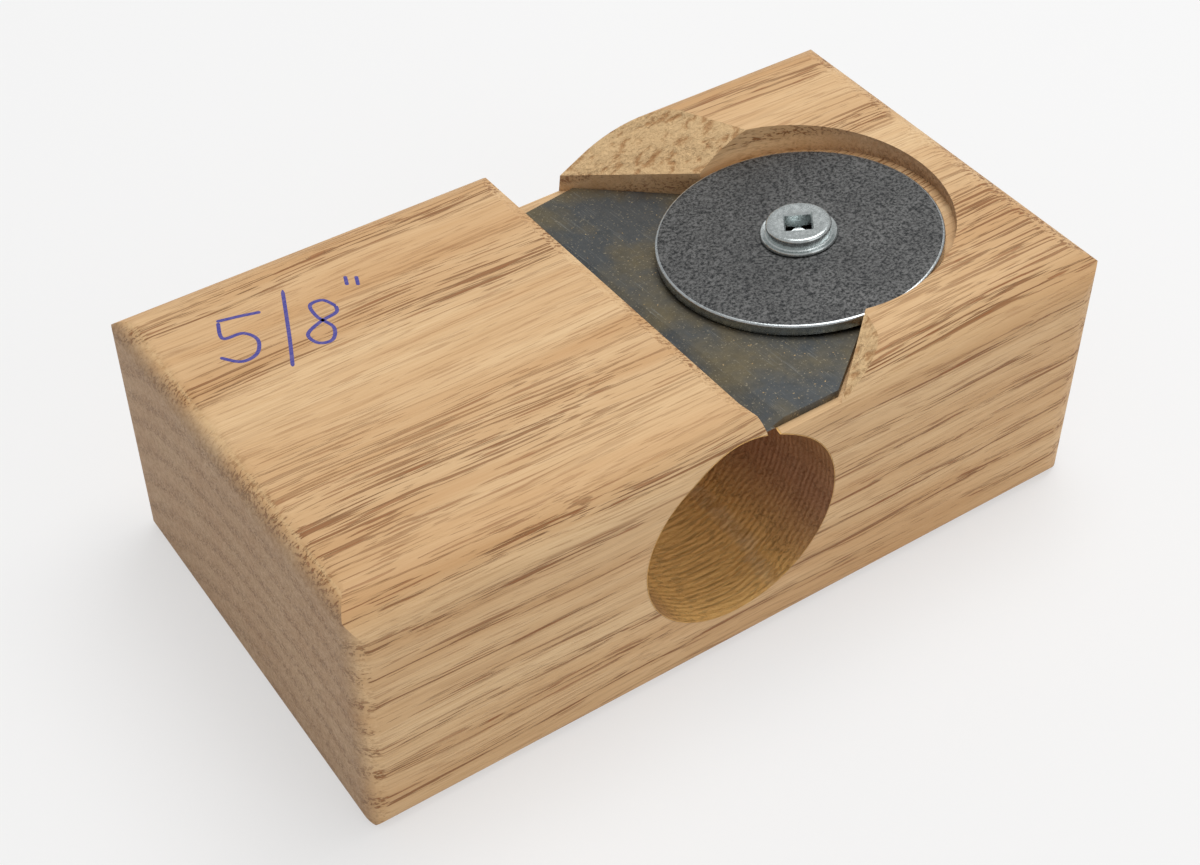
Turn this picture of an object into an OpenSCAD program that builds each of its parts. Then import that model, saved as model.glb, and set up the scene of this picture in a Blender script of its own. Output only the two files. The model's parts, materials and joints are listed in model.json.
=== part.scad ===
// Hand-held dowel maker: an oak block with a tapered hole, a flat cutter bedded over the hole,
// and a large washer and screw that clamp the cutter down.
// A square blank turns in the wide mouth at the front (-Y) and leaves round at the back (+Y).
// The origin is the middle of the block's footprint on the bench. X is the length, Z is up.

/* [Block] */
// Length of the block along the grain
block_l = 113; // [104:1:130]
// Width of the block, along the hole
block_w = 63; // [58:1:76]
// Thickness of the block
block_h = 38; // [37:0.5:46]
// Radius of the far end's edges and of the long top edges
edge_r = 5.6; // [3:0.1:7]
// Radius of the near end's edges
near_end_r = 2.8; // [1.5:0.1:6]
// Radius of the bottom edges
bottom_r = 2.2; // [1:0.1:5]

/* [Tapered hole] */
// Distance of the hole's axis from the middle of the block, towards -X
bore_off = 2.8; // [0:0.1:8]
// Height of the hole's axis
bore_z = 21; // [19.5:0.1:22]
// Radius of the wide mouth, where the square blank turns
infeed_r = 14.3; // [12.5:0.1:15]
// Radius of the finished dowel and of the hole that it leaves by
dowel_r = 7.94; // [6:0.05:9.5]
// Length of the straight part at each end of the taper
land_l = 6; // [4:0.5:12]

/* [Cutter] */
// Length of the cutting edge, along the sloping bed
edge_l = 58; // [50:0.5:60]
// Distance from the hole's axis to the cutting edge, towards +X
edge_off = 3.8; // [2.5:0.1:4.5]
// Distance of the cutting edge's finishing tip from the block's back face
tip_inset = 3.7; // [3:0.1:8]
// Height of the bed above the hole's axis where the cutter starts, at the front
bed_rise_front = 13.25; // [12.5:0.05:14]
// Tilt of the bed across the cutter, rising away from the edge, in degrees
bed_tilt = 0.8; // [0:0.1:3]
// Thickness of the cutter plate
blade_t = 1; // [0.8:0.1:1.6]
// Width of the ground bevel
bevel_w = 2.8; // [1.5:0.1:5]
// Thickness that the stoned edge keeps
edge_t = 0.1; // [0.05:0.05:0.3]
// Length of the square front end
front_l = 11.2; // [8:0.2:14]
// Length of the back end
back_l = 11.6; // [8:0.2:14]
// Skew of the back end, in degrees
back_skew = 8; // [0:0.5:12]
// Angle of the front slant from the long axis of the block, in degrees
front_slant = 38.5; // [34:0.5:44]
// Angle of the back slant, in degrees
back_slant = 46.5; // [42:0.5:52]
// Depth of the cutter from its edge to its square tail
blade_depth = 33; // [31:0.5:35]
// Travel that the cutter has in its nest when the screw is slack
travel = 0.7; // [0.3:0.1:1]
// Side clearance of the cutter in its nest
nest_gap = 0.65; // [0.6:0.05:1]

/* [Clamp] */
// Distance from the cutting edge to the screw
screw_off = 26; // [23:0.5:28]
// Distance of the screw from the middle of the block, towards the front
screw_front = 3.2; // [0:0.2:6]
// Slope of the clamp towards +X, in degrees
clamp_rise = 4.3; // [2:0.1:6]
// Slope of the clamp downwards to the back, in degrees
clamp_fall = 4.3; // [2:0.1:6]
// Outer radius of the large washer
washer_r = 19.1; // [16:0.1:20]
// Radius of the large washer's hole
washer_hole_r = 3.6; // [3:0.1:4.4]
// Thickness of the large washer
washer_t = 1.5; // [1:0.1:2.2]
// Radius of the round pocket
pocket_r = 19.8; // [19.5:0.1:22]
// How far the pocket's centre lies beyond the screw, towards +X
pocket_off_x = 1.7; // [0:0.1:3]
// How far the pocket's centre lies behind the screw
pocket_off_y = 0.8; // [0:0.1:2]

/* [Screw] */
// Radius of the screw's thread, over the crests
screw_r = 2.1; // [1.8:0.05:2.6]
// Length under the head
screw_l = 25.4; // [18:0.2:28]
// Length of the pointed end
point_l = 5; // [3:0.5:8]
// Radius of the flange under the head
flange_r = 5.15; // [4.6:0.05:6]
// Thickness of the flange
flange_t = 0.55; // [0.4:0.05:1]
// Radius of the round head
head_r = 4.35; // [3.8:0.05:4.5]
// Height of the head above the flange
head_h = 1.5; // [1.2:0.1:2.4]
// Radius of the head's top edge
head_edge_r = 0.45; // [0.2:0.05:0.8]
// Width of the square socket
socket_w = 3.5; // [2.8:0.1:3.8]
// Depth of the square socket
socket_deep = 2.4; // [1.5:0.1:3]
// Turn of the socket about the screw, in degrees
socket_turn = -34; // [-90:1:90]

/* [Throat] */
// Gap across the throat, from the cutting edge to the lip, at the middle of the block
throat = 2.2; // [1.4:0.1:3.5]
// Skew of the lip, opening towards the back, in degrees
lip_skew = 1.4; // [0:0.1:3]
// How far back the lip's nose reaches, where it closes in on the front tip
nose_l = 5; // [3:0.5:8]
// Gap between the nose and the front tip
nose_gap = 0.3; // [0.2:0.05:1]
// Width of the bevel that eases the lip
lip_bevel_w = 1.8; // [0.5:0.1:2.5]
// Depth of that bevel
lip_bevel_h = 0.8; // [0.3:0.1:1.5]

/* [Clearances] */
// Gap under the cutter and under the clamp
seat_gap = 0.05; // [0.02:0.01:0.1]
// Radial clearance of the screw in its pilot hole
pilot_gap = 0.05; // [0.02:0.01:0.1]
// Least gap between the large washer's rim and the pocket's wall
washer_gap = 0.4; // [0.35:0.05:0.7]
// Clearance of the screw in the cutter's slot
slot_gap = 0.7; // [0.5:0.1:1.2]

/* [Hidden] */
$fn = 96;
over = 5;
big = 2 * block_l;

bore_x = -bore_off;
back_y = block_w / 2;
front_y = -back_y;

// The cutting edge lies on the underside of the cutter. Its back tip touches the finished dowel.
edge_x = bore_x + edge_off;
tip_y = back_y - tip_inset;
tip_z = bore_z + sqrt(dowel_r * dowel_r - edge_off * edge_off);
bed_front_z = bore_z + bed_rise_front;
bed_fall = asin((bed_front_z - tip_z) / edge_l);

// Slopes of the cutter's faces and of the clamp, as rise per unit of x and of y
blade_slope = [tan(bed_tilt) / cos(bed_fall), -tan(bed_fall)];
clamp_slope = [tan(clamp_rise), -tan(clamp_fall)];
screw_x = edge_x + screw_off;
screw_y = -screw_front;

// The clamp rocks down until the washer's rim meets the cutter, so the two slopes and the
// washer's radius set its height over the screw.
blade_top_at_screw = tip_z + (seat_gap + blade_t) / cos(bed_fall)
    + blade_slope[0] * (screw_x - edge_x) + blade_slope[1] * (screw_y - tip_y);
rock = norm(clamp_slope - blade_slope) * washer_r;
clamp_z = blade_top_at_screw + rock + seat_gap;

screw_deep = screw_l + seat_gap + 1;
slot_r = screw_r + slot_gap;

// Places its children in the cutter's frame: x from the edge, y back from the finishing tip,
// z square to the bed.
module on_bed() {
    translate([edge_x, tip_y, tip_z]) rotate([-bed_fall, -bed_tilt, 0]) children();
}

// Places its children in the clamp's frame: the middle of the washer's underside, z along the screw.
module on_clamp() {
    lean = atan2(clamp_slope[0], -clamp_slope[1]);
    slope = atan(norm(clamp_slope));
    translate([screw_x, screw_y, clamp_z])
        rotate([0, 0, lean]) rotate([-slope, 0, 0]) rotate([0, 0, -lean]) children();
}

// A rectangle from (0, 0) with its own radius at each corner, in the order
// low left, low right, high right, high left
module eased_rect(w, h, radii) {
    corners = [[0, 0], [w, 0], [w, h], [0, h]];
    inward = [[1, 1], [-1, 1], [-1, -1], [1, -1]];
    difference() {
        square([w, h]);
        for (i = [0:3]) {
            r = radii[i];
            centre = corners[i] + inward[i] * r;
            difference() {
                translate(corners[i] + inward[i] * r / 2) square(r, center = true);
                translate(centre) circle(r);
            }
        }
    }
}

// The sawn and sanded block: three eased outlines that meet
module blank() {
    intersection() {
        translate([-block_l / 2, front_y, 0]) linear_extrude(block_h)
            eased_rect(block_l, block_w, [near_end_r, edge_r, edge_r, near_end_r]);
        translate([-block_l / 2, back_y, 0]) rotate([90, 0, 0]) linear_extrude(block_w)
            eased_rect(block_l, block_h, [bottom_r, bottom_r, edge_r, near_end_r]);
        translate([-block_l / 2, front_y, 0]) rotate([90, 0, 90]) linear_extrude(block_l)
            eased_rect(block_w, block_h, [bottom_r, bottom_r, edge_r, edge_r]);
    }
}

// The hole: a straight mouth, the reamed taper, and a straight outlet of the dowel's size
module tapered_hole() {
    translate([bore_x, front_y, bore_z]) rotate([-90, 0, 0]) {
        translate([0, 0, -over]) cylinder(r = infeed_r, h = over + land_l);
        translate([0, 0, land_l]) cylinder(r1 = infeed_r, r2 = dowel_r, h = block_w - 2 * land_l);
        translate([0, 0, block_w - land_l]) cylinder(r = dowel_r, h = land_l + over);
    }
}

// Where the line through p at angle a meets the line through q at angle b
function meet(p, a, q, b) =
    p + [cos(a), sin(a)] * ((q[0] - p[0]) * sin(b) - (q[1] - p[1]) * cos(b)) / sin(b - a);

// The sides of the cutter, in order round it: a point on each and its direction
front_corner = [front_l, -edge_l];
back_corner = [back_l, back_l * tan(back_skew)];
sides = [
    [[0, 0], -90],
    [[0, -edge_l], 0],
    [front_corner, front_slant],
    [[blade_depth, 0], 90],
    [back_corner, 180 - back_slant],
    [[0, 0], 180 + back_skew]
];

// The cutter's outline with each side moved out by its own amount
function outline(out) = [
    for (i = [0:5])
        let (j = (i + 1) % 6, a = sides[i], b = sides[j])
        meet(a[0] + out[i] * [sin(a[1]), -cos(a[1])], a[1],
             b[0] + out[j] * [sin(b[1]), -cos(b[1])], b[1])
];

// Plan of the space to the right of the lip, with the nose that closes in on the front tip
module right_of_lip() {
    lip_mid = edge_x - throat;
    nose_y = front_y + nose_l;
    far_y = back_y + over;
    run = tan(lip_skew);
    polygon([
        [edge_x - nose_gap, front_y - over],
        [edge_x - nose_gap, front_y],
        [lip_mid - run * nose_y, nose_y],
        [lip_mid - run * far_y, far_y],
        [big, far_y],
        [big, front_y - over]
    ]);
}

// The bed that the cutter lies on, its nest and the throat in front of its edge
module bed_cut() {
    open = back_y;
    intersection() {
        on_bed() linear_extrude(block_h)
            polygon(outline([open, open, nest_gap, nest_gap + travel, nest_gap, open]));
        linear_extrude(block_h + over) right_of_lip();
    }
}

// The bevel that eases the lip's top edge
module lip_bevel() {
    translate([edge_x - throat, 0, block_h]) rotate([0, 0, lip_skew]) rotate([90, 0, 0])
        translate([0, 0, -block_w]) linear_extrude(2 * block_w)
            polygon([[-2 * lip_bevel_w, lip_bevel_h], [lip_bevel_w, -2 * lip_bevel_h],
                     [lip_bevel_w, over], [-2 * lip_bevel_w, over]]);
}

// The round pocket for the washer, and the pilot hole for the screw
module clamp_cut() {
    on_clamp() {
        translate([pocket_off_x, pocket_off_y, -seat_gap]) cylinder(r = pocket_r, h = block_h);
        translate([0, 0, -seat_gap]) cylinder(r = washer_r + washer_gap, h = block_h);
        translate([0, 0, -screw_deep]) cylinder(r = screw_r + pilot_gap, h = screw_deep + over);
    }
}

// A flat pared away with a chisel: all that lies above a plane through a point, within a box
module pared(point, slope, low, high) {
    lean = atan2(slope[0], -slope[1]);
    intersection() {
        translate(point) rotate([0, 0, lean]) rotate([-atan(norm(slope)), 0, 0])
            translate([-big / 2, -big / 2, 0]) cube(big);
        translate(low) cube(high - low);
    }
}

// The long flat behind the cutter, which lets the shavings out
relief_back_x = 25.5;
relief_back_slope = [0.561, 0.303];
// The small flat beside the front slant
relief_front_x = 20.4;
relief_front_slope = [0.467, -0.157];

module reliefs() {
    pared([relief_back_x, back_y, block_h], relief_back_slope,
          [edge_x + back_l - 3, screw_y + 13, 0],
          [screw_x + 12, back_y + over, block_h + over]);
    pared([relief_front_x, front_y + 4, block_h], relief_front_slope,
          [edge_x + front_l, front_y - over, 0],
          [screw_x, front_y + 9, block_h + over]);
}

module body_block() {
    color("burlywood") difference() {
        blank();
        tapered_hole();
        bed_cut();
        clamp_cut();
        lip_bevel();
        reliefs();
    }
}

module cutter_blade() {
    color("dimgray") on_bed() translate([0, 0, seat_gap]) difference() {
        intersection() {
            linear_extrude(blade_t) polygon(outline([0, 0, 0, 0, 0, 0]));
            translate([0, back_y, 0]) rotate([90, 0, 0]) linear_extrude(2 * block_w)
                polygon([[0, 0], [blade_depth, 0], [blade_depth, blade_t],
                         [bevel_w, blade_t], [0, edge_t]]);
        }
        screw_slot();
    }
}

// The slot lets the cutter move square to its edge while the screw stays in place
module screw_slot() {
    from_tip = (screw_y - tip_y) / cos(bed_fall);
    for (end = [-1, 1])
        translate([screw_off + end * travel, from_tip, -over]) cylinder(r = slot_r, h = 2 * over);
    translate([screw_off - travel, from_tip - slot_r, -over])
        cube([2 * travel, 2 * slot_r, 2 * over]);
}

module clamp_washer() {
    color("slategray") on_clamp() difference() {
        cylinder(r = washer_r, h = washer_t);
        translate([0, 0, -over]) cylinder(r = washer_hole_r, h = 2 * over);
    }
}

module clamp_screw() {
    color("lightsteelblue") on_clamp() translate([0, 0, washer_t + seat_gap]) difference() {
        rotate_extrude() screw_profile();
        translate([0, 0, flange_t + head_h - socket_deep]) rotate([0, 0, socket_turn])
            translate([-socket_w / 2, -socket_w / 2, 0]) cube([socket_w, socket_w, over]);
    }
}

// Half of the screw's outline, from the point up to the top of the head
module screw_profile() {
    top = flange_t + head_h;
    polygon([[0, -screw_l], [screw_r, point_l - screw_l], [screw_r, 0], [flange_r, 0],
             [flange_r, flange_t], [head_r, flange_t], [head_r, top - head_edge_r],
             [head_r - head_edge_r, top - head_edge_r], [head_r - head_edge_r, top], [0, top]]);
    translate([head_r - head_edge_r, top - head_edge_r]) intersection() {
        circle(head_edge_r);
        square(head_edge_r);
    }
}

body_block();
cutter_blade();
clamp_washer();
clamp_screw();
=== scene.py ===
# %% [markdown]
# # A shop-made dowel maker
# The object is a block of oak with a tapered hole, a flat steel cutter bedded over the hole, and a
# large washer and a screw that hold the cutter down. The solids come ready-made at their real size
# and place. This lesson gives them their surfaces, and adds what is too fine for a solid: the
# screw's thread, the washer's rolled rim, the sawdust on the cutter and a size written in ink.

# %% Load the solids
import json
import math

import bmesh
import bpy
from mathutils import Matrix, Vector


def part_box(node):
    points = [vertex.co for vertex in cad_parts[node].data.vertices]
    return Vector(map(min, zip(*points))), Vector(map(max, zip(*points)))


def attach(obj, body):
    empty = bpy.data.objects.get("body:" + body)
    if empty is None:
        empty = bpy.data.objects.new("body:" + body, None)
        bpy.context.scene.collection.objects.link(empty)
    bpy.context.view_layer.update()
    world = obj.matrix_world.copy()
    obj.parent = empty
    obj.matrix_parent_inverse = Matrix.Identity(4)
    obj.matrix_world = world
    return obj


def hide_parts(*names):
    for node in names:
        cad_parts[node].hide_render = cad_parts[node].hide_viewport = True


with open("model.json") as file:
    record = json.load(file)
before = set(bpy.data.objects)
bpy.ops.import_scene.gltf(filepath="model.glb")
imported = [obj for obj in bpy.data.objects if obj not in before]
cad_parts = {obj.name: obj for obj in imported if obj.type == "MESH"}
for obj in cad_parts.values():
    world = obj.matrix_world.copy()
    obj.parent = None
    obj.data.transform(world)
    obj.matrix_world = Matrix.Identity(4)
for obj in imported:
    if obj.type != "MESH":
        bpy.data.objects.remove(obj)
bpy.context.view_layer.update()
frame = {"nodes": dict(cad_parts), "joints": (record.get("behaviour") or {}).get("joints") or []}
MM = 0.001
print("solids:", sorted(frame["nodes"]))

# %% [markdown]
# ## One helper for nodes, one for colours
# Every material below is a small network of nodes. A single function adds a node with its settings
# and its links, so that each material reads as a list of steps. Colours are written as they look on
# a screen, and one function turns them into the linear values that light needs.


# %% A colour and a node
def linear(code):
    """A screen colour such as "#D9B68A" as linear red, green, blue and alpha."""
    parts = [int(code[i:i + 2], 16) / 255 for i in (1, 3, 5)]
    return [p / 12.92 if p <= 0.04045 else ((p + 0.055) / 1.055) ** 2.4 for p in parts] + [1.0]


def add(tree, kind, settings=None, inputs=None):
    """Adds a node, sets its properties, and sets or links its inputs by name or number."""
    made = tree.nodes.new(kind)
    for name, value in (settings or {}).items():
        setattr(made, name, value)
    for name, value in (inputs or {}).items():
        if isinstance(value, bpy.types.NodeSocket):
            tree.links.new(value, made.inputs[name])
        else:
            made.inputs[name].default_value = value
    return made


print("amber in linear light:", [round(part, 3) for part in linear("#F8C472")])

# %% [markdown]
# ## Short words for common steps
# Four short words save most of the writing: a sum, a sum on vectors, a ramp that turns one range
# into another, and a mix of two colours. A fifth makes noise whose cells have a real size in
# millimetres on each axis, so that a long thin cell gives a streak and a round one gives a dot.


# %% Sums, ramps, mixes and noise
def maths(tree, operation, first, second=0.0):
    return add(tree, "ShaderNodeMath", {"operation": operation}, {0: first, 1: second}).outputs[0]


def vector(tree, operation, first, second=None):
    inputs = {0: first} if second is None else {0: first, 1: second}
    made = add(tree, "ShaderNodeVectorMath", {"operation": operation}, inputs)
    return made.outputs["Value" if operation in ("LENGTH", "DOT_PRODUCT") else "Vector"]


def step(tree, value, low, high, to_low=0.0, to_high=1.0):
    """A clamped ramp from one range to another."""
    inputs = {"Value": value, "From Min": low, "From Max": high, "To Min": to_low, "To Max": to_high}
    return add(tree, "ShaderNodeMapRange", {}, inputs).outputs[0]


def blend(tree, factor, first, second):
    """Mixes two colours. Inputs 6 and 7 are the node's colour inputs."""
    settings = {"data_type": "RGBA", "clamp_factor": True}
    return add(tree, "ShaderNodeMix", settings, {0: factor, 6: first, 7: second}).outputs[2]


def grain(tree, place, cell_mm, detail=3.0, rough=0.55):
    """Noise with cells of a real size in millimetres on each axis."""
    scaled = vector(tree, "MULTIPLY", place, [1 / size for size in cell_mm])
    inputs = {"Vector": scaled, "Scale": 1.0, "Detail": detail, "Roughness": rough}
    return add(tree, "ShaderNodeTexNoise", {}, inputs)


print("short words ready")

# %% [markdown]
# ## What every material starts with
# Each material reads the real place of a point on its piece, so a pattern has its true scale and
# stays put when the piece moves. Bumps also have a real depth, in millimetres.


# %% Starting a material
def new_material(name):
    """A material with its tree, its shader and the place of each point in millimetres."""
    made = bpy.data.materials.new(name)
    made.use_nodes = True
    tree = made.node_tree
    spot = add(tree, "ShaderNodeTexCoord").outputs["Object"]
    place = add(tree, "ShaderNodeVectorMath", {"operation": "SCALE"}, {0: spot, "Scale": 1 / MM})
    return made, tree, tree.nodes["Principled BSDF"], place.outputs[0]


def relief(tree, shader, height, depth_mm):
    """Turns a height from 0 to 1 into bumps of a real depth."""
    inputs = {"Height": height, "Distance": depth_mm * MM, "Strength": 1.0}
    tree.links.new(add(tree, "ShaderNodeBump", {}, inputs).outputs[0], shader.inputs["Normal"])


def dress(node, material):
    """Gives one of the ready-made solids its finish."""
    solid = frame["nodes"][node]
    solid.data.materials.clear()
    solid.data.materials.append(material)
    print(material.name, "on", solid.name)
    return solid


def show(name, mesh):
    """Puts a mesh in the scene as a piece at the origin."""
    piece = bpy.data.objects.new(name, mesh)
    bpy.context.scene.collection.objects.link(piece)
    return piece


# %% [markdown]
# ## The oak's growth rings
# Red oak is ring-porous: each year's growth starts with a band of large open pores. The rings are
# distances from the tree's heart, which lies below the block, and the grain runs along X. A slow
# drift bends them a little, because no board is quite straight.

# %% Growth rings
HEART = (0.0, -14.0, -58.0)
YEAR_MM = 4.4
DRIFT_CELL_MM = (83.33, 20, 20)
DRIFT_MM = (0, 5, 5)
ACROSS_GRAIN = (0, 1, 1)


def bent(tree, place):
    """The place of each point, moved by the slow drift of the grain."""
    drift = grain(tree, place, DRIFT_CELL_MM, 2.0).outputs["Color"]
    inputs = {0: drift, 1: DRIFT_MM, 2: place}
    return add(tree, "ShaderNodeVectorMath", {"operation": "MULTIPLY_ADD"}, inputs).outputs[0]


def early_wood(tree, wavy):
    """1 in the porous start of a year's growth and 0 in the dense rest of it."""
    across = vector(tree, "MULTIPLY", vector(tree, "SUBTRACT", wavy, HEART), ACROSS_GRAIN)
    season = maths(tree, "FRACT", maths(tree, "DIVIDE", vector(tree, "LENGTH", across), YEAR_MM))
    return maths(tree, "MULTIPLY", step(tree, season, 0.0, 0.12), step(tree, season, 0.62, 0.3))


print("one year's growth:", YEAR_MM, "mm")

# %% [markdown]
# ## The oak's pores and fibres
# Along the grain the pores show as brown streaks, and across it as dots. Both come from one noise
# whose cells are twenty millimetres long and less than half a millimetre wide. Pores are many in
# the early wood and few in the rest. Finer fibres and broad patches vary the tan between them.

# %% Pores and fibres
LONG_PORE_MM = (22.22, 0.4348, 0.4348)
SHORT_PORE_MM = (8.333, 0.2778, 0.2778)
FIBRE_MM = (10, 0.2, 0.2)
PATCH_MM = (83.33, 6.25, 6.25)


def pores(tree, wavy, early):
    """The long noise, its streaks, and the short red-brown ticks between them."""
    long_noise = grain(tree, wavy, LONG_PORE_MM, 3.0, 0.55).outputs["Fac"]
    short_noise = grain(tree, wavy, SHORT_PORE_MM, 2.0, 0.5).outputs["Fac"]
    in_streaks = step(tree, early, 0, 1, 0.18, 1.0)
    in_ticks = step(tree, early, 0, 1, 0.35, 0.9)
    streaks = maths(tree, "MULTIPLY", step(tree, long_noise, 0.55, 0.61), in_streaks)
    ticks = maths(tree, "MULTIPLY", step(tree, short_noise, 0.59, 0.64), in_ticks)
    return long_noise, streaks, ticks


def sanded_colour(tree, wavy, early, fibre, streaks, ticks):
    """Light tan, with darker fibres and brown pores."""
    patches = grain(tree, wavy, PATCH_MM, 2.0).outputs["Fac"]
    colour = blend(tree, step(tree, patches, 0.35, 0.68), linear("#ECCA9C"), linear("#D6AA79"))
    colour = blend(tree, step(tree, fibre, 0.35, 0.75, 0, 0.5), colour, linear("#C79B67"))
    colour = blend(tree, maths(tree, "MULTIPLY", early, 0.28), colour, linear("#BE8F5E"))
    colour = blend(tree, maths(tree, "MULTIPLY", streaks, 0.85), colour, linear("#8E5C32"))
    return blend(tree, maths(tree, "MULTIPLY", ticks, 0.8), colour, linear("#9A5F33"))


print("pores:", LONG_PORE_MM, "and", SHORT_PORE_MM, "mm")

# %% [markdown]
# ## Inside the hole
# The reamer has left fine ridges. In the hole, light and shade are painted into the wood's colour:
# a bright golden stands for the light on the floor of the hole, and painted shade darkens its ceiling.
# A point is in the hole when it lies no further from the hole's axis than the tapered wall, so the
# mask takes the wall's radius from the same taper as the solid.

# %% The tapered hole
block_low, block_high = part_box("body_block")
BORE_AXIS = (-2.8, 0, 21.0)
MOUTH_R = 14.3
OUTLET_R = 7.94
LAND_MM = 6.0
TAPER_FROM_Y = block_low[1] / MM + LAND_MM
TAPER_TO_Y = block_high[1] / MM - LAND_MM
SQUARE_TO_BORE = (1, 0, 1)
RIDGE_MM = 0.85
RIDGE_WANDER = 3.0
WOBBLE_MM = (8.333, 8.333, 8.333)
TORN_MM = (1.25, 0.625, 0.625)


def hole_mask(tree, place, along_bore):
    """1 on the hole's wall and 0 elsewhere."""
    from_axis = vector(tree, "MULTIPLY", vector(tree, "SUBTRACT", place, BORE_AXIS), SQUARE_TO_BORE)
    wall = step(tree, along_bore, TAPER_FROM_Y, TAPER_TO_Y, MOUTH_R, OUTLET_R)
    past_wall = maths(tree, "SUBTRACT", vector(tree, "LENGTH", from_axis), wall)
    return step(tree, past_wall, 0.12, 0.06)


def hole_colour_and_painted_light(tree, end_grain, upward, long_noise):
    # The bright golden on the wall that is not end grain is painted light; the end grain tone is the wood's
    # own.
    colour = blend(tree, end_grain, linear("#F8C472"), linear("#BA8763"))
    # Painted shade: darker where the wall faces down, on the ceiling of the hole.
    colour = blend(tree, step(tree, upward, 0.1, -0.7), colour, linear("#A8753F"))
    return blend(tree, step(tree, long_noise, 0.5, 0.62, 0, 0.35), colour, linear("#8A5A30"))


def hole_ridges(tree, place, along_bore):
    """The reamer's ridges round the hole, with torn fibres between them."""
    wobble = maths(tree, "MULTIPLY", grain(tree, place, WOBBLE_MM, 2.0).outputs["Fac"], RIDGE_WANDER)
    count = maths(tree, "ADD", maths(tree, "DIVIDE", along_bore, RIDGE_MM), wobble)
    wave = maths(tree, "SINE", maths(tree, "MULTIPLY", count, math.tau))
    ridge = maths(tree, "MULTIPLY_ADD", wave, 0.5)
    torn = grain(tree, place, TORN_MM, 4.0, 0.7).outputs["Fac"]
    return maths(tree, "ADD", maths(tree, "MULTIPLY", ridge, 0.22), torn)


print("taper from y", round(TAPER_FROM_Y, 2), "to", round(TAPER_TO_Y, 2), "mm")

# %% [markdown]
# ## The pared flats
# The two flats beside the washer were pared with a chisel across the pores, so they look rough and
# spotted. Each is found by the way it faces, which is square to its own slope.

# %% Pared flats
PARED_SLOPES = ((0.561, 0.303), (0.467, -0.157))
OPEN_PORE_MM = (2.857, 1.111, 1.111)


def pared_mask(tree, facing):
    """1 on the pared flats and 0 elsewhere."""
    masks = []
    for slope_x, slope_y in PARED_SLOPES:
        square_to = list(Vector((-slope_x, -slope_y, 1.0)).normalized())
        masks.append(step(tree, vector(tree, "DOT_PRODUCT", facing, square_to), 0.985, 0.995))
    return maths(tree, "MAXIMUM", masks[0], masks[1])


print("pared flats:", len(PARED_SLOPES))

# %% [markdown]
# ## The whole oak
# The parts come together here. The ends of the block are end grain: greyer, and fuzzy from the saw.
# Each effect has its own mask and adds to one height, which becomes the bumps. Bare wood has no
# varnish, so its shine is low and broad.

# %% Oak
FUZZ_MM = (0.625, 0.625, 0.625)
OAK_BUMP_MM = 0.35


def oak():
    """Bare oak, sanded: matt, warm tan, with pores that catch shadow."""
    made, tree, shader, place = new_material("Bare red oak, sanded")
    wavy = bent(tree, place)
    early = early_wood(tree, wavy)
    long_noise, streaks, ticks = pores(tree, wavy, early)
    fibre = grain(tree, wavy, FIBRE_MM, 3.0).outputs["Fac"]
    colour = sanded_colour(tree, wavy, early, fibre, streaks, ticks)

    facing = add(tree, "ShaderNodeNewGeometry").outputs["Normal"]
    facing_x, _, facing_up = add(tree, "ShaderNodeSeparateXYZ", {}, {0: facing}).outputs
    end_grain = step(tree, maths(tree, "ABSOLUTE", facing_x), 0.55, 0.95)
    fuzz = grain(tree, place, FUZZ_MM, 4.0, 0.7).outputs["Fac"]
    end_colour = blend(tree, step(tree, fuzz, 0.35, 0.7), linear("#C0A183"), linear("#977354"))
    colour = blend(tree, maths(tree, "MULTIPLY", end_grain, 0.75), colour, end_colour)

    along_bore = add(tree, "ShaderNodeSeparateXYZ", {}, {0: place}).outputs[1]
    in_hole = hole_mask(tree, place, along_bore)
    # The hole's wood and pores, with painted light on its floor and painted shade on its ceiling.
    hole_tone_and_painted_light = hole_colour_and_painted_light(tree, end_grain, facing_up, long_noise)
    colour = blend(tree, maths(tree, "MULTIPLY", in_hole, 0.85), colour, hole_tone_and_painted_light)

    pared = pared_mask(tree, facing)
    open_pores = grain(tree, place, OPEN_PORE_MM, 5.0, 0.62).outputs["Fac"]
    spotted = blend(tree, step(tree, open_pores, 0.5, 0.62), linear("#EBC794"), linear("#BC8C5A"))
    colour = blend(tree, maths(tree, "MULTIPLY", pared, 0.8), colour, spotted)
    tree.links.new(colour, shader.inputs["Base Color"])

    pits = maths(tree, "MULTIPLY", maths(tree, "MAXIMUM", streaks, ticks), 0.25)
    height = maths(tree, "SUBTRACT", maths(tree, "MULTIPLY", fibre, 0.12), pits)
    for mask, rough in ((end_grain, maths(tree, "MULTIPLY", fuzz, 0.5)),
                        (in_hole, hole_ridges(tree, place, along_bore)),
                        (pared, maths(tree, "MULTIPLY", open_pores, -2.6))):
        height = maths(tree, "ADD", height, maths(tree, "MULTIPLY", mask, rough))
    relief(tree, shader, height, OAK_BUMP_MM)
    shader.inputs["Roughness"].default_value = 0.62
    shader.inputs["Specular IOR Level"].default_value = 0.35
    return made


dress("body_block", oak())

# %% [markdown]
# ## The cutter
# The cutter is dark tool steel, rubbed flat by hand. Its face is nearly black-blue with an
# olive-brown tinge where pitch has stained it, and fine scratches run along the edge where it was
# honed. Steel is a metal, so its colour is its reflection, and the roughness does the rest. Small
# pale flecks stand for dust that is too fine to model.

# %% Tool steel
STAIN_MM = (11.11, 14.29, 11.11)
CLOUD_MM = (2, 2, 2)
SCRATCH_MM = (0.2, 8.333, 1)
FLECK_MM = (0.3125, 0.3125, 0.3125)


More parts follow.
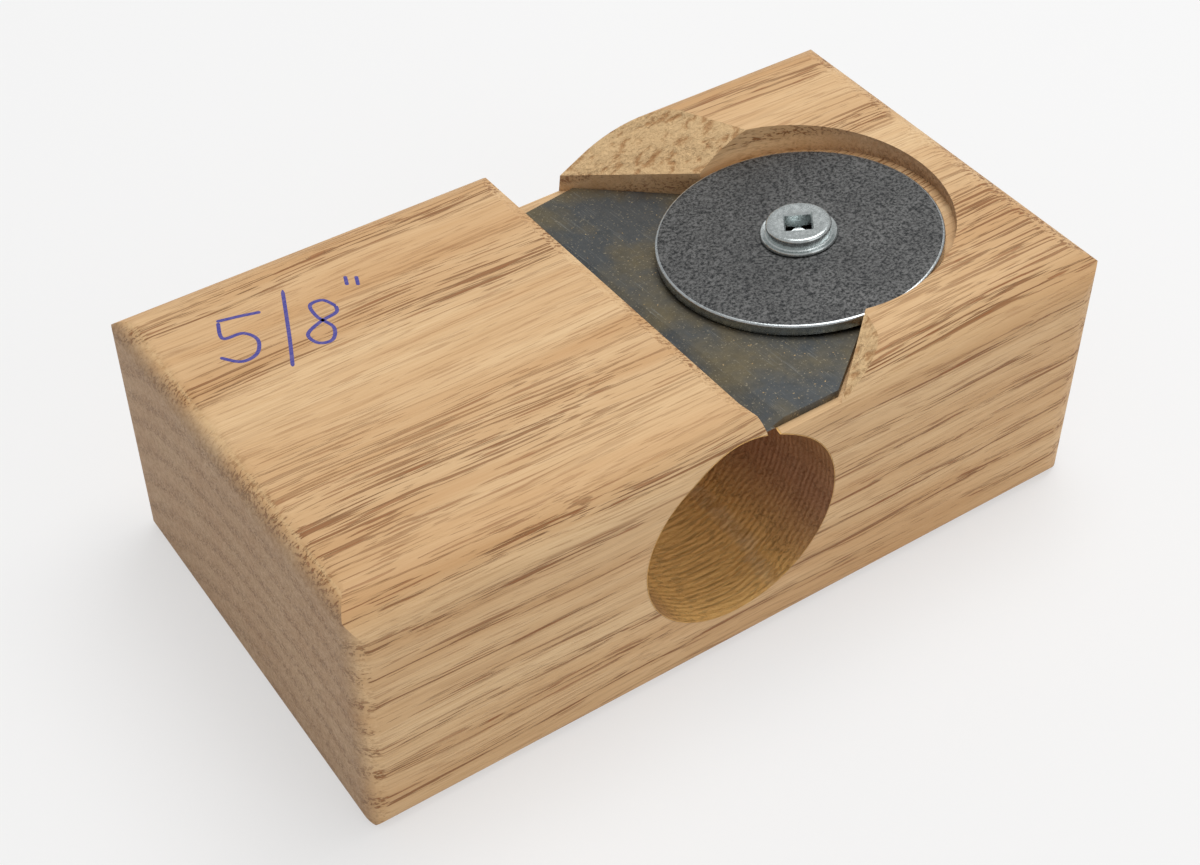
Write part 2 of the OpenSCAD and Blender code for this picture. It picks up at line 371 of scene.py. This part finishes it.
def tool_steel():
    """Honed steel: dark and half dull, with a broken, streaky shine."""
    made, tree, shader, place = new_material("Tool steel, hand honed, stained")
    stain = grain(tree, place, STAIN_MM, 4.0, 0.6).outputs["Fac"]
    cloud = grain(tree, place, CLOUD_MM, 5.0, 0.65).outputs["Fac"]
    scratch = grain(tree, place, SCRATCH_MM, 3.0, 0.7).outputs["Fac"]
    fleck = grain(tree, place, FLECK_MM, 2.0, 0.6).outputs["Fac"]
    colour = blend(tree, step(tree, stain, 0.42, 0.62), linear("#66696A"), linear("#857A60"))
    colour = blend(tree, step(tree, cloud, 0.3, 0.75, 0.0, 0.5), colour, linear("#3C3F41"))
    colour = blend(tree, step(tree, scratch, 0.6, 0.72, 0, 0.5), colour, linear("#9B9C98"))
    colour = blend(tree, step(tree, fleck, 0.62, 0.7, 0, 0.6), colour, linear("#BDB198"))
    tree.links.new(colour, shader.inputs["Base Color"])
    tree.links.new(step(tree, cloud, 0.3, 0.7, 0.38, 0.56), shader.inputs["Roughness"])
    shader.inputs["Metallic"].default_value = 1.0
    relief(tree, shader, maths(tree, "ADD", scratch, maths(tree, "MULTIPLY", cloud, 0.6)), 0.03)
    return made


cutter = dress("cutter_blade", tool_steel())

# %% [markdown]
# ## Zinc plate
# The washer and the screw are both zinc plated. The washer is a dull, speckled grey on its faces,
# and its outer band carries a painted highlight: a brighter zinc on the rim. The screw is clear and
# bright. One function makes all three: specks of two close greys, over a slow change from place to place.

# %% Zinc finishes
SLOW_CHANGE_MM = (8.333, 8.333, 8.333)
ROUGHNESS_SPREAD = 0.14


def zinc(name, dark, light, rough, speck_mm, contrast):
    """Zinc plate in specks of a real size. A small roughness gives the bright kinds."""
    made, tree, shader, place = new_material(name)
    speck = grain(tree, place, (speck_mm, speck_mm, speck_mm), 3.0, 0.75).outputs["Fac"]
    cloud = grain(tree, place, SLOW_CHANGE_MM, 3.0).outputs["Fac"]
    shade = step(tree, speck, 0.5 - contrast, 0.5 + contrast)
    colour = blend(tree, shade, linear(dark), linear(light))
    colour = blend(tree, step(tree, cloud, 0.3, 0.7, 0, 0.3), colour, linear(dark))
    tree.links.new(colour, shader.inputs["Base Color"])
    roughness = step(tree, speck, 0.3, 0.7, rough, rough + ROUGHNESS_SPREAD)
    tree.links.new(roughness, shader.inputs["Roughness"])
    shader.inputs["Metallic"].default_value = 1.0
    relief(tree, shader, speck, 0.02)
    return made


DULL_ZINC = zinc("Zinc plate, dull and speckled", "#38393A", "#7F7F7E", 0.42, 0.42, 0.11)
# The rim's brighter zinc is a painted highlight on the washer's outer band.
RIM_PAINTED_HIGHLIGHT = zinc("Zinc plate, painted rim highlight", "#AEB4B6", "#DDE2E3", 0.22, 0.5, 0.3)
BRIGHT_ZINC = zinc("Zinc plate, clear and bright", "#B4BBBB", "#E0E6E6", 0.2, 0.6, 0.3)
print("zinc finishes:", DULL_ZINC.name, RIM_PAINTED_HIGHLIGHT.name, BRIGHT_ZINC.name, sep=", ")

# %% [markdown]
# ## Turned pieces
# The washer and the screw are round, so each is a profile that is turned about the screw's axis.
# The screw's joint gives that axis, and the middle of the washer's underside.

# %% The clamp's own frame
turn = next(joint for joint in frame["joints"] if joint["name"] == "screw_turn")
axis = Vector(turn["axis"]).normalized()
lean = Vector((0, 0, 1)).rotation_difference(axis).to_matrix().to_4x4()
CLAMP = Matrix.Translation(turn["pos_m"]) @ lean
print("clamp axis", [round(part, 4) for part in axis])

# %% [markdown]
# A profile row is a radius and a height. Its radius may change with the angle, which is how the
# thread winds: its crest climbs one pitch in each turn.


# %% Turning a profile
def ring_of(shape, radius, height, sides):
    """One ring of points. The radius is a number, or a function of the angle."""
    ring = []
    for k in range(sides):
        angle = math.tau * k / sides
        r = radius(angle) if callable(radius) else radius
        ring.append(shape.verts.new(Vector((r * math.cos(angle), r * math.sin(angle), height)) * MM))
    return ring


def join_rings(shape, low, high):
    """A band of faces from one ring of points to the next."""
    for k in range(len(low)):
        n = (k + 1) % len(low)
        shape.faces.new((low[k], low[n], high[n], high[k]))


def outward_mesh(name, shape):
    """The finished mesh, with every face turned outwards."""
    bmesh.ops.recalc_face_normals(shape, faces=shape.faces)
    mesh = bpy.data.meshes.new(name)
    shape.to_mesh(mesh)
    shape.free()
    return mesh


def turned(name, rows, sides, closed, place):
    """A turned piece in millimetres. A closed profile gives a ring, an open one a solid."""
    shape = bmesh.new()
    rings = [ring_of(shape, radius, height, sides) for radius, height in rows]
    for low, high in zip(rings, rings[1:]):
        join_rings(shape, low, high)
    if closed:
        join_rings(shape, rings[-1], rings[0])
    else:
        shape.faces.new(rings[0])
        shape.faces.new(rings[-1])
    mesh = outward_mesh(name, shape)
    mesh.transform(place)
    for face in mesh.polygons:
        face.use_smooth = True
    return show(name, mesh)


# %% [markdown]
# ## The large washer
# A punched washer isn't a plain ring. The punch rolls its upper edge over, and leaves the lower
# edge crisp. That rolled edge is what catches the light all the way round, so it is modelled.

# %% Large washer
WASHER_R = 19.1
WASHER_HOLE_R = 3.6
WASHER_T = 1.5
WASHER_SIDES = 256
ROLL_W = 0.45
ROLL_H = 0.28
ROLL_STEPS = 6
CRISP_EDGE = 0.08
RIM_FLAT = 0.6
HOLE_FLAT = 0.3
PAINTED_HIGHLIGHT_BAND = 0.3


def rolled_edge(radius, way):
    """The rolled upper edge, up from the wall at a radius. Way is 1 inwards and -1 outwards."""
    angles = [math.pi / 2 * k / ROLL_STEPS for k in range(ROLL_STEPS + 1)]
    return [(radius - way * ROLL_W * (1 - math.cos(a)), WASHER_T - ROLL_H * (1 - math.sin(a)))
            for a in angles]


def washer_rows():
    outside = [(WASHER_R - CRISP_EDGE, 0.0), (WASHER_R, CRISP_EDGE)] + rolled_edge(WASHER_R, 1)
    top = [(WASHER_R - ROLL_W - RIM_FLAT, WASHER_T), (WASHER_HOLE_R + ROLL_W + HOLE_FLAT, WASHER_T)]
    inside = rolled_edge(WASHER_HOLE_R, -1)[::-1]
    foot = [(WASHER_HOLE_R, CRISP_EDGE), (WASHER_HOLE_R + CRISP_EDGE, 0.0)]
    return outside + top + inside + foot


washer = turned("clamp_washer_rolled", washer_rows(), WASHER_SIDES, True, CLAMP)
washer.data.materials.append(DULL_ZINC)
washer.data.materials.append(RIM_PAINTED_HIGHLIGHT)
# Faces on the outer band take the brighter zinc, which paints a highlight round the rim.
for face in washer.data.polygons:
    spot = CLAMP.inverted() @ face.center
    if math.hypot(spot.x, spot.y) > (WASHER_R - PAINTED_HIGHLIGHT_BAND) * MM:
        face.material_index = 1
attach(washer, "clamp")
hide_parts("clamp_washer")
print("washer faces:", len(washer.data.polygons))

# %% [markdown]
# ## The screw's thread
# It is a wood screw with a coarse thread. The thread follows a rule: at each height its crest
# stands where the turns so far meet the angle. Towards the point everything narrows together, and
# the thread fades out into the plain shank under the head.

# %% Thread
SCREW_R = 2.08
ROOT_R = 1.45
POINT_R = 0.04
PITCH = 1.7
SCREW_L = 25.4
POINT_L = 5.0
SHANK_L = 4.5
THREAD_ROW = 0.14
CREST_HALF_WIDTH = 0.22


def thread_radius(height):
    """The radius at a height as a function of the angle: a sharp crest on a plain root."""
    reach = min(1.0, (height + SCREW_L) / POINT_L)
    fade = min(1.0, max(0.0, (-SHANK_L - height) / PITCH))

    def radius(angle):
        phase = (height / PITCH - angle / math.tau) % 1.0
        crest = max(0.0, 1 - abs(phase - 0.5) / CREST_HALF_WIDTH)
        return max(POINT_R, reach * (ROOT_R + (SCREW_R - ROOT_R) * crest * fade))

    return radius


def thread_rows():
    thread_l = SCREW_L - SHANK_L
    count = round(thread_l / THREAD_ROW)
    heights = [-SCREW_L + thread_l * k / count for k in range(count + 1)]
    return [(thread_radius(height), height) for height in heights]


print("thread rows:", len(thread_rows()))

# %% [markdown]
# ## The screw's head
# The flange is one with the round head, and a dark groove runs between them. The flange's own edge
# is rounded, so it shows as a bright line round the head.

# %% Head
FLANGE_R = 5.15
FLANGE_T = 0.55
HEAD_R = 4.35
HEAD_H = 1.5
HEAD_EDGE_R = 0.45
HEAD_EDGE_STEPS = 6
HEAD_DISH = 0.02
HEAD_TOP = FLANGE_T + HEAD_H


def shank_rows():
    """The plain shank, widening as it meets the flange."""
    return [(ROOT_R + 0.12, -SHANK_L + 0.3), (ROOT_R + 0.15, -0.4), (ROOT_R + 0.4, 0.0)]


def flange_rows():
    """The flange with its rounded edge, and the groove that runs round the head."""
    return [(FLANGE_R - 0.1, 0.0), (FLANGE_R, 0.12), (FLANGE_R, FLANGE_T - 0.16),
            (FLANGE_R - 0.12, FLANGE_T), (FLANGE_R - 0.3, FLANGE_T - 0.03),
            (HEAD_R + 0.18, FLANGE_T - 0.1), (HEAD_R, FLANGE_T + 0.02)]


def head_rows():
    """The head's wall, its round edge and its top, which is dished a little."""
    angles = [math.pi / 2 * k / HEAD_EDGE_STEPS for k in range(HEAD_EDGE_STEPS + 1)]
    edge = [(HEAD_R - HEAD_EDGE_R * (1 - math.cos(a)), HEAD_TOP - HEAD_EDGE_R * (1 - math.sin(a)))
            for a in angles]
    return edge + [(radius, HEAD_TOP - HEAD_DISH) for radius in (HEAD_R - 0.9, 2.0, 0.4)]


print("head rows:", len(flange_rows()) + len(head_rows()))

# %% [markdown]
# ## The square socket
# The socket is cut with a square punch that widens at the mouth, as the real punch leaves it. A
# Boolean modifier cuts it, and the result becomes a plain mesh with no modifier left.

# %% Socket
SEAT = WASHER_T + 0.05
SOCKET_W = 3.4
SOCKET_MOUTH_W = 3.9
SOCKET_MOUTH_H = 0.3
SOCKET_DEEP = 2.3
SOCKET_TURN = math.radians(-34)
PUNCH_POINT_W = 1.2
PUNCH_POINT_L = 0.5
PUNCH_OVER = 1


def square_punch():
    """A square punch with a wider mouth and a blunt point, as a closed mesh."""
    top = SEAT + HEAD_TOP
    floor = top - SOCKET_DEEP
    levels = [(PUNCH_POINT_W, floor - PUNCH_POINT_L), (SOCKET_W, floor), (SOCKET_W, top - SOCKET_MOUTH_H),
              (SOCKET_MOUTH_W, top), (SOCKET_MOUTH_W, top + PUNCH_OVER)]
    rows = [(width / math.sqrt(2), height) for width, height in levels]
    spin = Matrix.Rotation(SOCKET_TURN + math.pi / 4, 4, "Z")
    punch = turned("socket_tool", rows, 4, False, CLAMP @ spin)
    for face in punch.data.polygons:
        face.use_smooth = False
    return punch


def settle(piece):
    """Turns what the modifiers make into the piece's own plain mesh."""
    ready = piece.evaluated_get(bpy.context.evaluated_depsgraph_get())
    plain = bpy.data.meshes.new_from_object(ready)
    piece.modifiers.clear()
    piece.data = plain


print("socket:", SOCKET_W, "mm wide,", SOCKET_DEEP, "mm deep")

# %% Screw
SCREW_SIDES = 64
SHARP_ANGLE = math.radians(38)

profile = thread_rows() + shank_rows() + flange_rows() + head_rows()
seated = [(radius, height + SEAT) for radius, height in profile]
screw = turned("clamp_screw_threaded", seated, SCREW_SIDES, False, CLAMP)
punch = square_punch()
cut = screw.modifiers.new("socket", "BOOLEAN")
cut.operation = "DIFFERENCE"
cut.solver = "EXACT"
cut.object = punch
settle(screw)
bpy.data.objects.remove(punch)
screw.data.materials.clear()
screw.data.materials.append(BRIGHT_ZINC)
screw.data.set_sharp_from_angle(angle=SHARP_ANGLE)
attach(screw, "screw")
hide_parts("clamp_screw")
print("screw faces:", len(screw.data.polygons))

# %% [markdown]
# ## Sawdust on the cutter
# Fine dust and small chips lie on the cutter. There are hundreds of them and they follow a rule, so
# Geometry Nodes scatter them: points on the cutter's upper face, more where a noise is high, with a
# flat chip of random size on each. The material comes first: dust is pale, and matt all over.

# %% The dust's own colour
DUST_TINT_MM = (0.6667, 0.6667, 0.6667)


def dust_material():
    """Loose oak dust: pale tan, with no shine."""
    made, tree, shader, place = new_material("Oak dust, loose")
    tint = grain(tree, place, DUST_TINT_MM, 2.0).outputs["Fac"]
    colour = blend(tree, step(tree, tint, 0.35, 0.65), linear("#CDB58A"), linear("#A98C60"))
    tree.links.new(colour, shader.inputs["Base Color"])
    shader.inputs["Roughness"].default_value = 0.85
    return made


# %% [markdown]
# The tree has three parts. The first says how thick the dust lies at each place, the second makes a
# chip with a random size and turn for each point, and the last makes all of it real, because an
# instance is only a promise of a mesh.

# %% The tree that scatters dust
DRIFTS_PER_M = 130.0
FACING_UP = 0.95
SMALLEST_CHIP = (0.3, 0.25, 0.15)
LARGEST_CHIP = (1.3, 0.8, 0.35)
CHIP_TILT = 0.15
SPIN_SEED = 3
DUST_INPUTS = {"Geometry": "NodeSocketGeometry", "Chip size": "NodeSocketFloat",
               "Density": "NodeSocketFloat", "Seed": "NodeSocketInt", "Material": "NodeSocketMaterial"}


def dust_density(tree, given):
    """How many chips fall on a square metre, at each place."""
    spot = add(tree, "GeometryNodeInputPosition").outputs[0]
    normal = add(tree, "GeometryNodeInputNormal").outputs[0]
    up = add(tree, "ShaderNodeSeparateXYZ", {}, {0: normal}).outputs[2]
    inputs = {"Vector": spot, "Scale": DRIFTS_PER_M, "Detail": 2.0}
    drift = add(tree, "ShaderNodeTexNoise", {}, inputs).outputs["Fac"]
    thick = maths(tree, "MULTIPLY", step(tree, drift, 0.46, 0.62), maths(tree, "GREATER_THAN", up, FACING_UP))
    return maths(tree, "MULTIPLY", thick, given["Density"])


def random_vector(tree, low, high, seed):
    inputs = {0: low, 1: high, "Seed": seed}
    return add(tree, "FunctionNodeRandomValue", {"data_type": "FLOAT_VECTOR"}, inputs).outputs[0]


def dust_tree():
    tree = bpy.data.node_groups.new("sawdust", "GeometryNodeTree")
    for name, kind in DUST_INPUTS.items():
        tree.interface.new_socket(name, in_out="INPUT", socket_type=kind)
    tree.interface.new_socket("Geometry", in_out="OUTPUT", socket_type="NodeSocketGeometry")
    given = add(tree, "NodeGroupInput").outputs
    inputs = {"Mesh": given["Geometry"], "Density": dust_density(tree, given), "Seed": given["Seed"]}
    scatter = add(tree, "GeometryNodeDistributePointsOnFaces", {"distribute_method": "RANDOM"}, inputs)
    inputs = {"Radius": given["Chip size"], "Subdivisions": 1}
    chip = add(tree, "GeometryNodeMeshIcoSphere", {}, inputs)
    size = random_vector(tree, SMALLEST_CHIP, LARGEST_CHIP, given["Seed"])
    turned_by = random_vector(tree, (0, 0, 0), (CHIP_TILT, CHIP_TILT, math.tau), SPIN_SEED)
    inputs = {"Points": scatter.outputs["Points"], "Instance": chip.outputs["Mesh"],
              "Rotation": turned_by, "Scale": size}
    chips = add(tree, "GeometryNodeInstanceOnPoints", {}, inputs)
    real = add(tree, "GeometryNodeRealizeInstances", {}, {0: chips.outputs[0]})
    inputs = {"Geometry": real.outputs[0], "Material": given["Material"]}
    dressed = add(tree, "GeometryNodeSetMaterial", {}, inputs)
    add(tree, "NodeGroupOutput", {}, {0: dressed.outputs[0]})
    return tree


# %% Sawdust
CHIP_R = 0.14
CHIPS_PER_SQUARE_METRE = 1.6e6
DUST_SEED = 7
FACES_PER_CHIP = 20


def scatter_dust():
    """Scatters dust on a copy of the cutter, and keeps only the dust."""
    piece = show("cutter_dust", cutter.data.copy())
    tree = dust_tree()
    layer = piece.modifiers.new("sawdust", "NODES")
    layer.node_group = tree
    wanted = {"Chip size": CHIP_R * MM, "Density": CHIPS_PER_SQUARE_METRE, "Seed": DUST_SEED,
              "Material": dust_material()}
    for item in tree.interface.items_tree:
        if item.in_out == "INPUT" and item.name in wanted:
            layer[item.identifier] = wanted[item.name]
    settle(piece)
    return piece


dust = scatter_dust()
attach(dust, "blade")
print("dust chips:", len(dust.data.polygons) // FACES_PER_CHIP)

# %% [markdown]
# ## The size in ink
# The size of the dowel is written on the block with a pen. It is drawn here as plain strokes of the
# lesson's own: each stroke is a few points, in millimetres across and up the writing, which is then
# smoothed and laid on the wood as a thin film of ink.

# %% Strokes of the pen
MARK_AT = Vector((-44.8, 17.1))
TEXT_RIGHT = Vector((0.829, -0.559))
TEXT_UP = Vector((0.447, 0.894))
STROKES = [
    [(-2.5, 2.6), (-1.9, -0.4), (0.6, 0.6), (2.4, -0.6), (2.3, -3.2), (0.4, -4.7), (-2.2, -4.0)],
    [(-2.7, 2.8), (0.0, 3.8), (2.8, 4.7)],
    [(6.6, -5.6), (6.3, 0.0), (5.6, 9.0)],
    [(12.2, 5.9), (10.6, 7.0), (9.0, 6.0), (9.8, 3.8), (11.8, 1.8), (11.6, -0.6), (9.8, -1.2),
     (8.6, 0.4), (10.2, 2.8), (12.2, 4.6), (12.2, 5.9)],
    [(13.6, 11.8), (13.8, 10.0)],
    [(15.0, 11.8), (15.2, 10.0)],
]
CURVE_STEPS = 10


def curve_point(a, b, c, d, t):
    """The point at a share t of the way from b to c, on a curve that also heeds a and d."""
    bend = 2 * a - 5 * b + 4 * c - d
    twist = 3 * b - a - 3 * c + d
    return 0.5 * (2 * b + (c - a) * t + bend * t ** 2 + twist * t ** 3)


def smooth_path(points):
    """A curve through all the points."""
    spots = [Vector(point) for point in points]
    ends = [spots[0]] + spots + [spots[-1]]
    path = []
    for a, b, c, d in zip(ends, ends[1:], ends[2:], ends[3:]):
        path += [curve_point(a, b, c, d, k / CURVE_STEPS) for k in range(CURVE_STEPS)]
    return path + [spots[-1]]


print("pen strokes:", len(STROKES))

# %% [markdown]
# The film is a little ribbon with a real thickness. It dips into the wood, so that no gap shows
# under it, and narrows where the pen lifts. Ballpoint ink is a matt blue-violet, paler where it
# skipped over the fibres.

# %% Size mark
PEN_W = 0.5
PEN_LIFT = 0.35
INK_UP = 0.015
INK_DOWN = 0.05
INK_WEAR_MM = (0.8333, 0.2, 0.2)


def ink_material():
    """Dry ink: blue-violet, matt and a little uneven."""
    made, tree, shader, place = new_material("Ballpoint ink, dry")
    worn = grain(tree, place, INK_WEAR_MM, 3.0).outputs["Fac"]
    colour = blend(tree, step(tree, worn, 0.4, 0.7), linear("#3B3A96"), linear("#6A5F9C"))
    tree.links.new(colour, shader.inputs["Base Color"])
    shader.inputs["Roughness"].default_value = 0.5
    return made


def ink_ring(shape, path, k):
    """The four corners of the ribbon where it passes point k of the path."""
    last = len(path) - 1
    ahead = path[min(k + 1, last)] - path[max(k - 1, 0)]
    side = Vector((-ahead.y, ahead.x)).normalized() * PEN_W / 2
    side *= PEN_LIFT if k in (0, last) else 1.0
    rim = [path[k] + side, path[k] - side]
    at = [MARK_AT + TEXT_RIGHT * p.x + TEXT_UP * p.y for p in rim]
    top = block_high[2] / MM
    high = [shape.verts.new(Vector((x, y, top + INK_UP)) * MM) for x, y in at]
    low = [shape.verts.new(Vector((x, y, top - INK_DOWN)) * MM) for x, y in at]
    return [high[0], high[1], low[1], low[0]]


def size_mark():
    shape = bmesh.new()
    for stroke in STROKES:
        path = smooth_path(stroke)
        rings = [ink_ring(shape, path, k) for k in range(len(path))]
        for near, far in zip(rings, rings[1:]):
            join_rings(shape, near, far)
        shape.faces.new(rings[0])
        shape.faces.new(rings[-1])
    made = show("size_mark", outward_mesh("size_mark", shape))
    made.data.materials.append(ink_material())
    return made


mark = size_mark()
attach(mark, "block")
print("ink faces:", len(mark.data.polygons))

# %% [markdown]
# ## Floor and room
# The object stands on a pale sweep. The floor is white to the camera and to reflections, yet keeps
# part of the real shadow, so the object sits on it. The room is white to the camera, and lights the
# object at half that strength.

# %% Floor
FLOOR_HALF = 3.0
FLOOR_WHITENING = 0.55


def stage_floor():
    corners = [(x * FLOOR_HALF, y * FLOOR_HALF, 0) for x, y in ((-1, -1), (1, -1), (1, 1), (-1, 1))]
    mesh = bpy.data.meshes.new("floor")
    mesh.from_pydata(corners, [], [(0, 1, 2, 3)])
    floor = show("floor", mesh)
    floor.data.materials.append(paper())
    print("floor:", 2 * FLOOR_HALF, "m wide")


def paper():
    """Pale paper: matt, and whitened for every ray that shows it."""
    made = bpy.data.materials.new("Pale paper sweep")
    made.use_nodes = True
    tree = made.node_tree
    shader = tree.nodes["Principled BSDF"]
    shader.inputs["Base Color"].default_value = linear("#F1F1F1")
    shader.inputs["Roughness"].default_value = 0.9
    rays = add(tree, "ShaderNodeLightPath").outputs
    seen = maths(tree, "MAXIMUM", rays["Is Camera Ray"], rays["Is Glossy Ray"])
    seen = maths(tree, "MAXIMUM", seen, rays["Is Transmission Ray"])
    glow = add(tree, "ShaderNodeEmission", {}, {"Color": linear("#FCFCFC"), "Strength": 1.0})
    inputs = {0: maths(tree, "MULTIPLY", seen, FLOOR_WHITENING), 1: shader.outputs[0], 2: glow.outputs[0]}
    mix = add(tree, "ShaderNodeMixShader", {}, inputs)
    tree.links.new(mix.outputs[0], tree.nodes["Material Output"].inputs["Surface"])
    return made


stage_floor()

# %% Room
ROOM_LIGHT = 0.5
ROOM_WHITE = 1.0


def stage_room():
    world = bpy.data.worlds.new("soft room")
    bpy.context.scene.world = world
    world.use_nodes = True
    tree = world.node_tree
    rays = add(tree, "ShaderNodeLightPath").outputs
    seen = maths(tree, "MAXIMUM", rays["Is Camera Ray"], rays["Is Transmission Ray"])
    background = tree.nodes["Background"]
    background.inputs["Color"].default_value = linear("#FFFFFF")
    strength = step(tree, seen, 0.0, 1.0, ROOM_LIGHT, ROOM_WHITE)
    tree.links.new(strength, background.inputs["Strength"])
    print("room:", world.name)


stage_room()

# %% [markdown]
# ## Lamps
# Two large lamps do the rest. One hangs above, a little to the right, and makes the top face the
# brightest. A weaker one stands in front, so that the front side and the hole aren't lost in shade.

# %% Lamps
LAMP_SIZE = 0.5
LAMPS = {
    "window above": ((0.22, 0.1, 0.75), (0, 0, 0), 3.15),
    "room front": ((0.2, -0.7, 0.35), (0, 0, 0.02), 0.65),
}


def soft_lamp(name, place, aim, watts):
    light = bpy.data.lights.new(name, "AREA")
    light.shape = "SQUARE"
    light.size = LAMP_SIZE
    light.energy = watts
    lamp = bpy.data.objects.new(name, light)
    lamp.location = place
    lamp.rotation_euler = (Vector(aim) - Vector(place)).to_track_quat("-Z", "Y").to_euler()
    bpy.context.scene.collection.objects.link(lamp)


for name, (place, aim, watts) in LAMPS.items():
    soft_lamp(name, place, aim, watts)
print("lamps:", list(LAMPS))

# %% [markdown]
# ## Camera
# The camera's place and lens were solved from the block's edges and the hole's ellipses in the
# photograph. Its three directions are worked out from two angles and a slight roll.

# %% Camera
AZIMUTH = math.radians(-33.982)
ELEVATION = math.radians(43.540)
ROLL = math.radians(-0.036)
EYE_MM = Vector((-113.84, -164.87, 201.74))
LENS_MM = 61.066
SENSOR_MM = 36.0
NEAREST_M = 0.01

level = math.cos(ELEVATION)
back = Vector((math.sin(AZIMUTH) * level, -math.cos(AZIMUTH) * level, math.sin(ELEVATION)))
right = Vector((math.cos(AZIMUTH), math.sin(AZIMUTH), 0))
up = back.cross(right)
rolled_right = right * math.cos(ROLL) + up * math.sin(ROLL)
rolled_up = up * math.cos(ROLL) - right * math.sin(ROLL)
lens = bpy.data.cameras.new("camera")
lens.lens = LENS_MM
lens.sensor_width = SENSOR_MM
lens.sensor_fit = "HORIZONTAL"
lens.clip_start = NEAREST_M
camera = bpy.data.objects.new("camera", lens)
facing = Matrix((rolled_right, rolled_up, back)).transposed().to_4x4()
camera.matrix_world = Matrix.Translation(EYE_MM * MM) @ facing
bpy.context.scene.collection.objects.link(camera)
bpy.context.scene.camera = camera
bpy.context.scene.view_settings.view_transform = "Standard"
print("camera", [round(part, 4) for part in camera.location])
